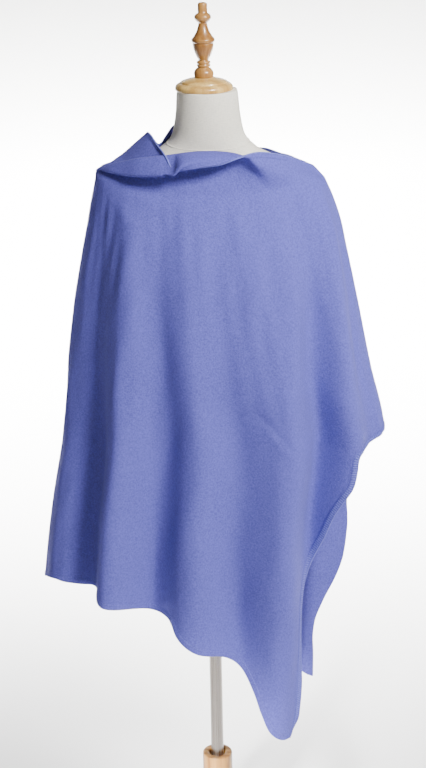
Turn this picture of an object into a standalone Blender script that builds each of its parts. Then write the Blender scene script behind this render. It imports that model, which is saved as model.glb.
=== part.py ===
"""Knitted poncho worn on a limbless linen dress form with a turned cap and a wooden tripod foot."""
import math

import bmesh
import bpy
import numpy as np
from mathutils import Vector
from mathutils.geometry import delaunay_2d_cdt

# driving sizes, metres
wallCloth = 0.0022
seamGap = 0.0003
hemWide = 0.012
bottomHemWide = 0.010
neckHemWide = 0.008
hemThick = 0.0007
ringPower = 2.15
neckRadius = 0.0512
capRadius = 0.0486
capBottom = 1.5415
poleRadius = 0.0118
postRadius = 0.0282
postTop = 0.268
postBottom = 0.105
socketDepth = 0.12
legReach = 0.285
legWide = 0.034
formBottom = 0.745
frontAcross, frontStep = 3, 0.036
backAcross, backStep = 2, 0.046
cowlSpan = 0.06
turnSize = 0.0042
fallSize = 0.42
torsoSides = 36
shiftX, shiftY = 0.001, -0.049

# hanging section of the cloth: height, left, right, front reach, back reach
drapeColumns = ("z", "left", "right", "front", "back")
drapeRows = np.array([
    (1.410, -0.186, 0.196, 0.076, 0.072),
    (1.380, -0.192, 0.207, 0.101, 0.090),
    (1.350, -0.199, 0.219, 0.117, 0.101),
    (1.320, -0.205, 0.229, 0.130, 0.108),
    (1.270, -0.216, 0.240, 0.145, 0.118),
    (1.180, -0.233, 0.259, 0.155, 0.128),
    (1.050, -0.250, 0.285, 0.160, 0.138),
    (0.940, -0.264, 0.310, 0.163, 0.145),
    (0.800, -0.291, 0.305, 0.166, 0.150),
    (0.650, -0.312, 0.290, 0.168, 0.155),
    (0.500, -0.320, 0.275, 0.168, 0.158),
    (0.350, -0.325, 0.262, 0.168, 0.160)])

# folds: ring angle in degrees and height in mm at four levels, half width in degrees, lean in mm
foldLevels = (1.35, 1.10, 0.85, 0.55)
foldColumns = ("name", "angles", "heights", "width", "lean")
frontFolds = (
    ("side swell", (12, 13, 20, 26), (0, 4, 8, 9), 8, 0),
    ("side trough", (31, 35, 41, 47), (-5, -15, -28, -36), 10, 0),
    ("first ridge", (54, 54, 55, 60), (3, 12, 27, 32), 8, -13),
    ("second trough", (69, 69, 70, 72), (-1, -9, -24, -28), 8, 0),
    ("broad ridge", (78, 82, 84, 88), (3, 8, 17, 19), 8, -9),
    ("third trough", (93, 91, 93, 101), (0, -4, -12, -20), 6, 0),
    ("low swell", (104, 106, 107, 112), (0, 3, 6, 8), 6, -4),
    ("shoulder ridge", (138, 117, 114, 121), (8, 14, 20, 15), 8, -5),
    ("deep trough", (133, 129, 126, 128), (-9, -28, -50, -34), 8, 0),
    ("outer ridge", (154, 145, 138, 138), (14, 22, 18, 14), 8, -10),
    ("flap trough", (164, 158, 155, 153), (-4, -9, -12, -10), 8, 0))
backFolds = (
    ("side trough", (338, 333, 326, 318), (-4, -14, -24, -28), 10, 0),
    ("first ridge", (322, 318, 312, 304), (4, 12, 22, 26), 9, -8),
    ("second trough", (304, 300, 296, 290), (-2, -10, -20, -24), 9, 0),
    ("broad ridge", (284, 280, 277, 273), (3, 9, 16, 18), 9, 6),
    ("third trough", (266, 262, 258, 256), (-1, -6, -14, -18), 8, 0),
    ("low ridge", (250, 246, 243, 240), (3, 10, 16, 17), 8, 6),
    ("deep trough", (226, 230, 228, 226), (-6, -22, -34, -30), 9, 0),
    ("outer ridge", (210, 213, 212, 210), (6, 18, 26, 24), 9, 6),
    ("flap trough", (196, 198, 197, 196), (-4, -10, -12, -10), 8, 0))

# lower edges: turn round the ring from the side fold, in degrees, and height
frontHem = ((0, 0.650), (6, 0.659), (14, 0.670), (25, 0.682), (35, 0.676), (45, 0.671), (60, 0.660),
            (72, 0.642), (78, 0.635), (82, 0.605), (88, 0.580), (95, 0.562), (102, 0.527),
            (107, 0.480), (110, 0.440), (114, 0.402), (119, 0.384), (124, 0.377))
frontSide = ((180, 0.940), (157, 0.927), (141.5, 0.919), (140.5, 0.891), (139.5, 0.864), (137, 0.845),
             (134.4, 0.816), (131.4, 0.760), (129.2, 0.723), (127.2, 0.689), (125.5, 0.648), (125.3, 0.603),
             (126.7, 0.538), (128.6, 0.474), (128.9, 0.432), (128, 0.395), (124, 0.377))
backHem = ((0, 0.650), (15, 0.642), (30, 0.620), (45, 0.592), (60, 0.562), (75, 0.532), (90, 0.500),
           (105, 0.464), (120, 0.428), (130, 0.400), (139, 0.376))
backSide = ((180, 0.940), (168, 0.915), (156, 0.888), (148.7, 0.866), (143.9, 0.821), (142.8, 0.781),
            (143.1, 0.742), (144.3, 0.698), (144.7, 0.655), (144.4, 0.620), (143, 0.585), (139.8, 0.537),
            (137.7, 0.500), (137.4, 0.468), (138.2, 0.430), (139, 0.376))

# neckline stations: turn round the ring, seat height, then edge, lower bend and upper bend as x, y, z in mm
neckColumns = ("turn", "seat z", "edge", "low bend", "high bend")
frontNeck = (
    (0, 1398, (-187, 0, 1409), (-187, -2, 1406), (-188, -2, 1402)),
    (24, 1397, (-174, 0, 1418), (-171, -26, 1412), (-170, -17, 1417)),
    (38, 1394, (-161, 0, 1422), (-157, -46, 1414), (-155, -33, 1424)),
    (50, 1390, (-139, -5, 1438), (-136, -68, 1414), (-134, -51, 1432)),
    (59, 1387, (-118, -12, 1457), (-117, -86, 1416), (-114, -67, 1439)),
    (67, 1385, (-98, -20, 1475), (-97, -99, 1418), (-95, -78, 1443)),
    (74, 1384, (-80, -58, 1461), (-80, -108, 1420), (-78, -84, 1446)),
    (80, 1383, (-65, -92, 1448), (-65, -114, 1421), (-63, -88, 1448)),
    (85, 1382, (-54, -112, 1430), (-52, -122, 1423), (-48, -89, 1450)),
    (91, 1382, (-38, -121, 1431), (-38, -127, 1439), (-35, -92, 1452)),
    (98, 1382, (-9, -126, 1436), (-9, -125, 1447), (-9, -94, 1454)),
    (106, 1383, (24, -124, 1440), (24, -121, 1449), (24, -97, 1454)),
    (113, 1384, (53, -118, 1449), (53, -115, 1450), (54, -102, 1450)),
    (121, 1386, (81, -101, 1453), (81, -104, 1446), (81, -106, 1438)),
    (131, 1388, (108, -79, 1447), (108, -84, 1439), (108, -89, 1430)),
    (142, 1391, (138, -46, 1434), (138, -53, 1427), (138, -61, 1419)),
    (152, 1391, (161, -18, 1423), (161, -25, 1418), (162, -33, 1412)),
    (163, 1389, (184, 0, 1409), (185, -7, 1405), (186, -14, 1400)),
    (180, 1376, (203, 0, 1388), (204, -1, 1384), (205, -1, 1380)))
backNeck = (
    (0, 1398, (-187, 0, 1409), (-187, 2, 1406), (-188, 2, 1402)),
    (22, 1397, (-174, 0, 1418), (-175, 10, 1413), (-176, 20, 1407)),
    (34, 1396, (-161, 0, 1422), (-163, 14, 1417), (-164, 30, 1409)),
    (46, 1395, (-139, -5, 1438), (-143, 15, 1430), (-145, 38, 1415)),
    (56, 1394, (-118, -12, 1457), (-122, 14, 1440), (-124, 44, 1419)),
    (64, 1394, (-98, -20, 1475), (-103, 12, 1452), (-106, 48, 1423)),
    (71, 1394, (-82, 5, 1450), (-87, 30, 1441), (-90, 57, 1421)),
    (77, 1394, (-74, 20, 1448), (-77, 44, 1440), (-78, 64, 1420)),
    (83, 1394, (-66, 40, 1456), (-67, 57, 1446), (-68, 72, 1421)),
    (89, 1394, (-51, 60, 1471), (-51, 70, 1454), (-51, 78, 1425)),
    (96, 1394, (-22, 72, 1480), (-22, 78, 1458), (-22, 82, 1427)),
    (104, 1394, (10, 77, 1474), (10, 82, 1453), (10, 84, 1424)),
    (112, 1394, (42, 73, 1448), (43, 79, 1434), (44, 83, 1415)),
    (120, 1394, (72, 65, 1429), (73, 72, 1421), (74, 80, 1409)),
    (129, 1394, (106, 40, 1430), (107, 54, 1424), (108, 69, 1410)),
    (142, 1393, (138, -46, 1434), (136, -10, 1432), (136, 32, 1420)),
    (154, 1392, (161, -18, 1423), (162, 0, 1419), (163, 18, 1411)),
    (164, 1389, (184, 0, 1409), (186, 6, 1406), (187, 12, 1401)),
    (180, 1376, (203, 0, 1388), (204, 1, 1384), (205, 1, 1380)))
sharedStations = (5, 15)

# linen form: height, half width, front reach, back reach, sideways offset
torsoColumns = ("z", "half width", "front", "back", "centre")
torsoRows = (
    (0.745, 0.1450, 0.102, 0.100, 0), (0.750, 0.1520, 0.108, 0.106, 0), (0.830, 0.1640, 0.112, 0.116, 0),
    (0.930, 0.1520, 0.104, 0.108, 0), (1.030, 0.1240, 0.088, 0.084, 0), (1.090, 0.1240, 0.088, 0.080, 0),
    (1.170, 0.1360, 0.112, 0.086, 0), (1.240, 0.1500, 0.130, 0.092, 0), (1.290, 0.1600, 0.120, 0.094, 0),
    (1.330, 0.1700, 0.094, 0.090, 0), (1.362, 0.1790, 0.072, 0.080, 0), (1.384, 0.1860, 0.058, 0.068, -0.001),
    (1.3985, 0.1820, 0.052, 0.060, 0), (1.4068, 0.1700, 0.049, 0.056, 0.001),
    (1.4158, 0.1450, 0.048, 0.055, 0.002), (1.4268, 0.1170, 0.049, 0.054, 0.003),
    (1.4378, 0.0920, 0.050, 0.054, 0.004), (1.4500, 0.0750, 0.0515, 0.0545, 0.005),
    (1.460, 0.0655, 0.0525, 0.0545, 0.0055), (1.476, 0.0590, 0.0530, 0.0540, 0.0055),
    (1.506, 0.0540, 0.0525, 0.0530, 0.0055), (1.5385, 0.0512, 0.0512, 0.0512, 0.0050),
    (1.5412, 0.0480, 0.0480, 0.0480, 0.0050))

# turned pieces: height above the cap's underside and radius, mm
capTurn = ((0, 0), (0, 48.0), (0.8, 48.6), (6.0, 48.6), (8.5, 47.4), (10.5, 44.5), (12.0, 40.6),
           (12.6, 39.4), (13.6, 39.4), (14.4, 38.2), (17.0, 31.5), (19.0, 24.0), (20.4, 18.5), (20.6, 0))
finialTurn = ((0, 0), (0, 15.2), (2.4, 16.2), (8.0, 16.4), (11.0, 15.2), (13.6, 13.2), (16.2, 9.8),
              (17.4, 10.6), (20.0, 11.3), (21.8, 10.2), (23.4, 11.4), (26.0, 11.4), (27.4, 8.2),
              (30.1, 9.2), (35.6, 12.4), (42.9, 15.2), (50.3, 16.9), (56.0, 17.6), (57.4, 18.4),
              (60.2, 19.2), (63.2, 19.3), (65.4, 17.4), (68.6, 15.0), (72.2, 12.8), (77.6, 10.0),
              (84.4, 8.1), (89.4, 7.3), (92.1, 10.0), (94.9, 12.8), (98.5, 14.0), (102.1, 12.9),
              (104.6, 10.2), (106.0, 7.9), (115.6, 7.9), (120.6, 7.4), (122.4, 6.0), (122.8, 0))


def clearScene():
    for item in list(bpy.data.objects):
        bpy.data.objects.remove(item, do_unlink=True)


def material(name, colour, roughness, metallic=0.0):
    made = bpy.data.materials.new(name)
    made.use_nodes = True
    shader = made.node_tree.nodes["Principled BSDF"]
    shader.inputs["Base Color"].default_value = (*colour, 1.0)
    shader.inputs["Roughness"].default_value = roughness
    shader.inputs["Metallic"].default_value = metallic
    made.diffuse_color = (*colour, 1.0)
    return made


def addObject(name, points, faces, paint, smooth=True):
    mesh = bpy.data.meshes.new(name)
    moved = [(p[0] + shiftX, p[1] + shiftY, p[2]) for p in points]
    mesh.from_pydata(moved, [], faces)
    work = bmesh.new()
    work.from_mesh(mesh)
    bmesh.ops.recalc_face_normals(work, faces=work.faces)
    bmesh.ops.triangulate(work, faces=work.faces)
    work.to_mesh(mesh)
    work.free()
    for face in mesh.polygons:
        face.use_smooth = smooth
    made = bpy.data.objects.new(name, mesh)
    made.data.materials.append(paint)
    bpy.context.scene.collection.objects.link(made)
    return made


def ringPoint(angle, height):
    levels = drapeRows[::-1, 0]
    left, right, front, back = (np.interp(height, levels, drapeRows[::-1, k]) for k in (1, 2, 3, 4))
    cosine, sine = np.cos(angle), np.sin(angle)
    x = (left + right) / 2 - (right - left) / 2 * np.sign(cosine) * np.abs(cosine) ** (2 / ringPower)
    y = np.where(sine > 0, -front, back) * np.abs(sine) ** (2 / ringPower)
    return np.stack([x, y, height + 0 * x], -1)


def smoothRamp(value):
    value = np.clip(value, 0, 1)
    return value * value * (3 - 2 * value)


def drapePoint(angleDeg, height, folds):
    """Ring point moved out by the folds and sideways by their lean; quiet near both side lines."""
    angle = np.radians(angleDeg)
    point = ringPoint(angle, height)
    step = ringPoint(angle + 0.01, height) - ringPoint(angle - 0.01, height)
    along = step / np.linalg.norm(step, axis=-1, keepdims=True)
    out = np.stack([along[..., 1], -along[..., 0], 0 * along[..., 0]], -1)
    levels = foldLevels[::-1]
    push = np.zeros_like(point[..., 0])
    slide = np.zeros_like(push)
    for name, angles, heights, width, lean in folds:
        centre = np.interp(height, levels, angles[::-1])
        tall = np.interp(height, levels, heights[::-1]) * 0.001
        bell = np.exp(-((angleDeg - centre) / width) ** 2)
        push += tall * bell
        slide += lean * 0.001 * bell * np.abs(tall) / 0.03
    top = smoothRamp((1.41 - height) / 0.09)
    edge = np.minimum(np.abs(angleDeg % 180), 180 - np.abs(angleDeg % 180))
    quiet = smoothRamp(edge / 10) * top
    sideways = np.array([1.0, 0, 0])
    return point + out * (push * quiet)[..., None] + sideways * (slide * quiet)[..., None]


def smoothTable(stations, share):
    """Rounded interpolation through evenly numbered stations."""
    stations = np.asarray(stations, float)
    count = len(stations)
    at = np.clip(np.asarray(share) * (count - 1), 0, count - 1)
    low = np.minimum(at.astype(int), count - 2)
    part = (at - low)[:, None]
    before = stations[np.maximum(low - 1, 0)]
    start, end = stations[low], stations[low + 1]
    after = stations[np.minimum(low + 2, count - 1)]
    tangentA, tangentB = (end - before) / 2, (after - start) / 2
    square, cube = part ** 2, part ** 3
    return ((2 * cube - 3 * square + 1) * start + (cube - 2 * square + part) * tangentA
            + (3 * square - 2 * cube) * end + (cube - square) * tangentB)


def between(points, part):
    """Centripetal curve between the middle two of four point rows."""
    p0, p1, p2, p3 = points
    knots = [np.zeros(len(p1))]
    for a, b in ((p0, p1), (p1, p2), (p2, p3)):
        knots.append(knots[-1] + np.maximum(np.linalg.norm(b - a, axis=1), 1e-6) ** 0.5)
    k0, k1, k2, k3 = (k[:, None] for k in knots)
    t = k1 + (k2 - k1) * part[:, None]
    a1 = p0 + (p1 - p0) * (t - k0) / (k1 - k0)
    a2 = p1 + (p2 - p1) * (t - k1) / (k2 - k1)
    a3 = p2 + (p3 - p2) * (t - k2) / (k3 - k2)
    b1 = a1 + (a2 - a1) * (t - k0) / (k2 - k0)
    b2 = a2 + (a3 - a2) * (t - k1) / (k3 - k1)
    return b1 + (b2 - b1) * (t - k1) / (k2 - k1)


cowlMarks = (0.0, 0.36, 0.66, 0.90, 1.0)


class Panel:
    """One half of the cloth, placed by its turn round the ring and its height."""

    def __init__(self, isBack, neck, hem, side, folds):
        self.isBack, self.hem, self.side, self.folds = isBack, hem, side, folds
        self.turns = np.array([row[0] for row in neck], float)
        self.table = np.array([(z, *edge, *low, *high) for turn, z, edge, low, high in neck], float) * 0.001

    def station(self, turn):
        return np.interp(turn, self.turns, np.arange(len(self.turns)))

    def guide(self, turn):
        at = self.station(turn)
        found = smoothTable(self.table, at / (len(self.turns) - 1))
        straight = np.stack([np.interp(at, np.arange(len(self.turns)), self.table[:, k])
                             for k in range(4)], -1)
        shared = (at <= sharedStations[0]) | (at >= sharedStations[1])
        found[:, 1:4] = np.where(shared[:, None], straight[:, 1:4], found[:, 1:4])
        return found

    def seat(self, turn):
        return self.guide(np.atleast_1d(np.asarray(turn, float)))[:, 0]

    def hang(self, turn, height):
        angle = 360 - turn if self.isBack else turn
        return drapePoint(angle, height, self.folds)

    def place(self, turn, height):
        turn = np.atleast_1d(np.asarray(turn, float))
        height = np.atleast_1d(np.asarray(height, float))
        guide = self.guide(turn)
        seat = guide[:, 0]
        point = self.hang(turn, np.minimum(height, seat))
        above = np.clip((height - seat) / cowlSpan, 0, 1)
        edge, low, high = guide[:, 1:4], guide[:, 4:7], guide[:, 7:10]
        reach = np.linalg.norm(low - edge, axis=1)
        first = edge + (low - edge) * np.minimum(0.5, neckHemWide / np.maximum(reach, 1e-6))[:, None]
        base, under = self.hang(turn, seat), self.hang(turn, seat - 0.03)
        chain = [under, base, high, low, first, edge, 2 * edge - first]
        for k in range(4):
            start, end = cowlMarks[k], cowlMarks[k + 1]
            part = np.clip((above - start) / (end - start), 0, 1)
            use = (above > start) & (above <= end)
            curved = between(chain[k:k + 4], part)
            point = np.where(use[:, None], curved, point)
        return point


def inside(points, polygon):
    x, y = points[:, 0], points[:, 1]
    hit = np.zeros(len(points), bool)
    for (ax, ay), (bx, by) in zip(polygon, np.roll(polygon, -1, axis=0)):
        if ay == by:
            continue
        cross = ((ay > y) != (by > y)) & (x < (bx - ax) * (y - ay) / (by - ay) + ax)
        hit ^= cross
    return hit


def distance(points, line):
    best = np.full(len(points), 1e9)
    for a, b in zip(line[:-1], line[1:]):
        span = b - a
        part = np.clip(((points - a) @ span) / max(float(span @ span), 1e-12), 0, 1)
        best = np.minimum(best, np.linalg.norm(points - a - part[:, None] * span, axis=1))
    return best


def resample(rows, step):
    """Points about one step apart along a table, counted in flat sizes."""
    rows = np.array(rows, float)
    flat = rows * (turnSize, 1.0)
    mark = np.concatenate([[0], np.cumsum(np.linalg.norm(np.diff(flat, axis=0), axis=1))])
    share = np.linspace(0, mark[-1], int(round(mark[-1] / step)) + 1)
    return np.stack([np.interp(share, mark, rows[:, k]) for k in (0, 1)], -1)


def insetLine(panel, line, wide, sign):
    """Line moved into the panel until it lies one hem width from the edge on the cloth."""
    flat = line * (turnSize, 1.0)
    along = np.gradient(flat, axis=0)
    along /= np.linalg.norm(along, axis=1, keepdims=True)
    inward = np.stack([-along[:, 1], along[:, 0]], -1) * sign
    size = np.full(len(line), wide)
    here = panel.place(line[:, 0], line[:, 1])
    for _ in range(3):
        moved = (flat + inward * size[:, None]) / (turnSize, 1.0)
        moved[:, 0] = np.clip(moved[:, 0], 0, 180)
        far = np.linalg.norm(panel.place(moved[:, 0], moved[:, 1]) - here, axis=1)
        size *= wide / np.maximum(far, wide * 0.3)
    return moved


def triangulate(panel, across, step):
    """Cloth points in turn and height, their triangles, and the two hem areas."""
    stations = np.arange(0, len(panel.turns) - 1 + 1e-6, 1 / across)
    turns = np.interp(stations, np.arange(len(panel.turns)), panel.turns)
    seats = panel.seat(turns)
    levels = np.arange(1.362, 0.36, -step)
    tip, corner = np.array(panel.hem[-1], float), np.array(panel.hem[0], float)
    side = resample(panel.side, 0.024)
    sideIn = insetLine(panel, side, hemWide, -1)
    hemTurns = turns[(turns < tip[0] - 2.0)]
    hem = np.stack([hemTurns, np.interp(hemTurns, *np.array(panel.hem, float).T)], -1)
    hemIn = insetLine(panel, hem, bottomHemWide, 1)
    hemIn[0, 0] = 0
    near = np.linspace(hem[-1], tip, 12)[1:]
    gap = np.linalg.norm(panel.place(near[:, 0], near[:, 1]) - panel.place(*tip), axis=1)
    catch = near[np.argmin(np.abs(gap - hemWide))]
    hem = np.concatenate([hem[hem[:, 0] < catch[0] - 1.0], [catch]])
    sideIn[-1] = catch
    sideIn[0] = (180, panel.side[0][1] + hemWide)
    hemIn = hemIn[hemIn[:, 0] < catch[0] + 0.5]
    marks = np.array([0.12, 0.24, 0.36, 0.44, 0.51, 0.58, 0.66, 0.74, 0.82, 0.90, 1.0])
    if panel.isBack:
        marks = np.array([0.18, 0.36, 0.51, 0.66, 0.78, 0.90, 1.0])
    top = np.stack([turns, seats + cowlSpan], -1)
    inner = [np.stack([turns[1:-1], seats[1:-1] + cowlSpan * m], -1) for m in marks[:-1]]
    inner.append(np.stack([turns[1:-1], seats[1:-1]], -1))
    inner += [np.stack([turns[1:-1], np.full(len(turns) - 2, z)], -1) for z in levels]
    inner = np.concatenate(inner)
    leftZ = np.concatenate([seats[0] + cowlSpan * marks[-2::-1], seats[:1],
                            levels[levels > corner[1] + 0.02], hemIn[:1, 1]])
    rightZ = np.concatenate([seats[-1] + cowlSpan * marks[-2::-1], seats[-1:],
                             levels[levels > panel.side[0][1] + 0.02], sideIn[:1, 1]])
    left = np.stack([np.zeros(len(leftZ)), leftZ], -1)
    right = np.stack([np.full(len(rightZ), 180.0), rightZ], -1)
    outline = np.concatenate([top, right, side, hem[::-1], left[::-1]])
    size = np.array((turnSize, fallSize))
    outline, inner = outline * size, inner * size
    lines = [sideIn * size, hemIn * size]
    room = 0.45 * fallSize * step
    keep = inside(inner, outline) & (distance(inner, lines[0]) > room) & (distance(inner, lines[1]) > room)
    keep &= (distance(inner, side * size) > room) & (distance(inner, hem * size) > room)
    sideArea = np.concatenate([side, sideIn[::-1]]) * size
    hemArea = np.concatenate([hem, hemIn[::-1]]) * size
    keep &= ~inside(inner, sideArea) & ~inside(inner, hemArea)
    points = list(outline)
    edges = [(k, (k + 1) % len(outline)) for k in range(len(outline))]
    for line in lines:
        first = len(points)
        points += list(line)
        edges += [(first + k, first + k + 1) for k in range(len(line) - 1)]
    points += list(inner[keep])
    made = delaunay_2d_cdt([Vector(p) for p in points], edges, [list(range(len(outline)))], 1, 1e-6)
    flat = np.array([tuple(p) for p in made[0]])
    faces = np.array([tuple(f) for f in made[2]])
    middle = flat[faces].mean(axis=1)
    inSide = inside(middle, sideArea)
    inHem = inside(middle, hemArea) & ~inSide
    return flat / size, faces, inSide, inHem


def cloth(panel, across, step):
    """Outer points, outward directions and triangles of one panel, its joining lines squared off."""
    place, faces, inSide, inHem = triangulate(panel, across, step)
    points = panel.place(place[:, 0], place[:, 1])
    corners = points[faces]
    normal = np.cross(corners[:, 1] - corners[:, 0], corners[:, 2] - corners[:, 0])
    if panel.isBack != (normal[:, 1].sum() > 0):
        faces = faces[:, ::-1]
        normal = -normal
    out = np.zeros_like(points)
    for k in range(3):
        np.add.at(out, faces[:, k], normal)
    out /= np.maximum(np.linalg.norm(out, axis=1, keepdims=True), 1e-12)
    at = panel.station(place[:, 0])
    onTop = place[:, 1] > panel.seat(place[:, 0]) + cowlSpan - 1e-5
    onSeamTop = onTop & (at >= sharedStations[1] - 1e-3)
    onFoldTop = onTop & (at <= sharedStations[0] + 1e-3)
    line = np.column_stack([panel.table[:, 1], panel.table[:, 3]])
    for chosen, turn in ((onFoldTop, -1), (onSeamTop, 1)):
        first = np.minimum(at[chosen].astype(int), len(line) - 2)
        run = line[first + 1] - line[first]
        up = np.stack([-run[:, 1], 0 * run[:, 0], run[:, 0]], -1)
        out[chosen] = up / np.linalg.norm(up, axis=1, keepdims=True)
    out[(place[:, 0] < 1e-4) & ~onTop] = (-1, 0, 0)
    out[(place[:, 0] > 180 - 1e-4) & ~onTop] = (1, 0, 0)
    points = points + np.array([0, seamGap / 2 * (1 if panel.isBack else -1), 0])
    above = (place[:, 1] - panel.seat(place[:, 0])) / cowlSpan
    free = (at > (sharedStations[0] + 0.1 if panel.isBack else 9.9)) & (at < sharedStations[1] - 0.1)
    inNeck = ((above > cowlMarks[3] - 1e-3) & free)[faces].all(axis=1)
    return points, out, faces, inSide, inHem, inNeck


def sheetSolid(name, points, out, faces, lift, wall, paint):
    """Closed sheet over the chosen triangles, its outer face lifted off the panel."""
    used, index = np.unique(faces, return_inverse=True)
    faces = index.reshape(faces.shape)
    outer = points[used] + out[used] * lift
    inner = outer - out[used] * wall
    count = len(used)
    directed = {}
    for a, b, c in faces:
        for edge in ((a, b), (b, c), (c, a)):
            directed[edge] = True
    solid = [tuple(f) for f in faces] + [(c + count, b + count, a + count) for a, b, c in faces]
    for a, b in directed:
        if (b, a) not in directed:
            solid += [(b, a, a + count), (b, a + count, b + count)]
    return addObject(name, np.concatenate([outer, inner]).tolist(), solid, paint)


def loft(name, rings, paint):
    """Closed body through rings of equal point count, ends closed by fans."""
    count = len(rings[0])
    points = [p for ring in rings for p in ring]
    faces = []
    for r in range(len(rings) - 1):
        for c in range(count):
            d = (c + 1) % count
            faces.append((r * count + c, r * count + d, (r + 1) * count + d, (r + 1) * count + c))
    for ring, first in ((rings[0], 0), (rings[-1], (len(rings) - 1) * count)):
        points.append(tuple(np.mean(np.array(ring), axis=0)))
        middle = len(points) - 1
        for c in range(count):
            faces.append((middle, first + c, first + (c + 1) % count))
    return addObject(name, points, faces, paint)


def circle(radius, height, count):
    return [(radius * math.cos(2 * math.pi * k / count), radius * math.sin(2 * math.pi * k / count), height)
            for k in range(count)]


def turned(name, profile, base, count, paint):
    rings = [circle(r * 0.001, base + h * 0.001, count) for h, r in profile if r > 0]
    return loft(name, rings, paint)


def torsoRing(height, half, front, back, centre, count):
    power = 2.0 + 0.35 * float(smoothRamp((half - 0.06) / 0.08))
    ring = []
    for k in range(count):
        angle = 2 * math.pi * k / count
        cosine, sine = math.cos(angle), math.sin(angle)
        x = centre + half * math.copysign(abs(cosine) ** (2 / power), cosine)
        reach = front if sine < 0 else back
        ring.append((x, reach * math.copysign(abs(sine) ** (2 / power), sine), height))
    return ring


def smoothRows(rows, parts):
    rows = np.array(rows, float)
    share = np.linspace(0, 1, (len(rows) - 1) * parts + 1)
    return smoothTable(rows, share)


def buildTorso(paint):
    rings = [circle(poleRadius + seamGap, formBottom + 0.05, torsoSides),
             circle(poleRadius + seamGap, formBottom, torsoSides),
             torsoRing(formBottom, 0.10, 0.07, 0.068, 0, torsoSides)]
    rings += [torsoRing(*row, torsoSides) for row in smoothRows(torsoRows, 1)]
    return loft("linen_torso", rings, paint)


def buildLeg(name, turn, paint):
    """Curved leg bar, its centre line given as reach and height, with a flat foot."""
    line = smoothTable(np.array([(0.0285, 0.178), (0.075, 0.168), (0.135, 0.118), (0.195, 0.054),
                                 (0.240, 0.017), (legReach, 0.0110)]), np.linspace(0, 1, 15))
    half = np.linspace(0.021, 0.0125, 15)
    tangent = np.gradient(line, axis=0)
    tangent /= np.linalg.norm(tangent, axis=1, keepdims=True)
    tangent[0] = (1, 0)
    tangent[-1] = (1, 0)
    side = np.stack([-tangent[:, 1], tangent[:, 0]], -1)
    cosine, sine = math.cos(turn), math.sin(turn)
    rings = []
    for (r, z), (nr, nz), h in zip(line, side, half):
        ring = []
        for wide, tall in ((-1, -0.72), (-0.72, -1), (0.72, -1), (1, -0.72), (1, 0.72), (0.72, 1),
                           (-0.72, 1), (-1, 0.72)):
            rr, zz = r + nr * tall * h, max(z + nz * tall * h, 0.0)
            across = wide * legWide / 2
            ring.append((rr * cosine - across * sine, rr * sine + across * cosine, zz))
        rings.append(ring)
    return loft(name, rings, paint)


clearScene()
clothBlue = material("periwinkle_knit", (0.125, 0.155, 0.50), 0.92)
hemBlue = material("hem_knit", (0.11, 0.14, 0.46), 0.92)
linen = material("cream_linen", (0.80, 0.76, 0.66), 0.9)
wood = material("honey_wood", (0.62, 0.36, 0.15), 0.35)
steel = material("brushed_pole", (0.55, 0.54, 0.52), 0.3, 1.0)

for title, panel, across, step in (
        ("front", Panel(False, frontNeck, frontHem, frontSide, frontFolds), frontAcross, frontStep),
        ("back", Panel(True, backNeck, backHem, backSide, backFolds), backAcross, backStep)):
    points, out, faces, inSide, inHem, inNeck = cloth(panel, across, step)
    sheetSolid(f"{title}_panel", points, out, faces, 0, wallCloth, clothBlue)
    for part, chosen in (("side_hem", inSide), ("bottom_hem", inHem), ("neck_hem", inNeck)):
        sheetSolid(f"{title}_{part}", points, out, faces[chosen], seamGap + hemThick, hemThick, hemBlue)

buildTorso(linen)
turned("neck_cap", capTurn, capBottom, 28, wood)
turned("finial", finialTurn, capBottom + 0.0206 + seamGap, 16, wood)
loft("pole", [circle(poleRadius, z, 24) for z in (postTop - socketDepth + seamGap, formBottom + 0.05 - seamGap)],
     steel)
hole = poleRadius + seamGap
loft("post", [circle(hole, postTop - socketDepth, 28), circle(hole, postTop - 0.004, 28),
              circle(0.0158, postTop, 28), circle(postRadius - 0.0012, postTop, 28),
              circle(postRadius, postTop - 0.0012, 28), circle(postRadius, postBottom + 0.002, 28),
              circle(postRadius - 0.002, postBottom, 28)], wood)
for number, turn in enumerate((90, 210, 330), 1):
    buildLeg(f"leg_{number}", math.radians(turn), wood)
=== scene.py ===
import math

import bpy
import numpy as np
from mathutils import Matrix, Vector


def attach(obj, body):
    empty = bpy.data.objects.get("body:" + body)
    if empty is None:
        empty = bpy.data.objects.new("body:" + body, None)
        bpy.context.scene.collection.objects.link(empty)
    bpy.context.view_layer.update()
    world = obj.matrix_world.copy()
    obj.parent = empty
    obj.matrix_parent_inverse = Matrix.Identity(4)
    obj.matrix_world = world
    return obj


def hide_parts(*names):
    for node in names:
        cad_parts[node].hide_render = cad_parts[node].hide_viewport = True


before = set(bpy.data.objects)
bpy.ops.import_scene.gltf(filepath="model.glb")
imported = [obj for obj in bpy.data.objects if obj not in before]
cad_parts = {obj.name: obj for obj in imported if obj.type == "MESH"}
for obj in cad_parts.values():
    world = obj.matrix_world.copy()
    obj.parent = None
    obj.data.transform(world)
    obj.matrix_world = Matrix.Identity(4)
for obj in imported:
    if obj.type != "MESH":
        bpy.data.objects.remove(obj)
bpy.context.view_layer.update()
poleFoot = np.array((0.001, -0.049, 0.0))  # where the pole's axis meets the floor

# camera: eye height, looking down on the hem, leaning as the photograph does
cameraView = {"height": 2.027, "away": 2.85, "aside": 0.0052, "pitch": 19.5, "roll": 1.13, "lens": 79.69}


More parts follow.
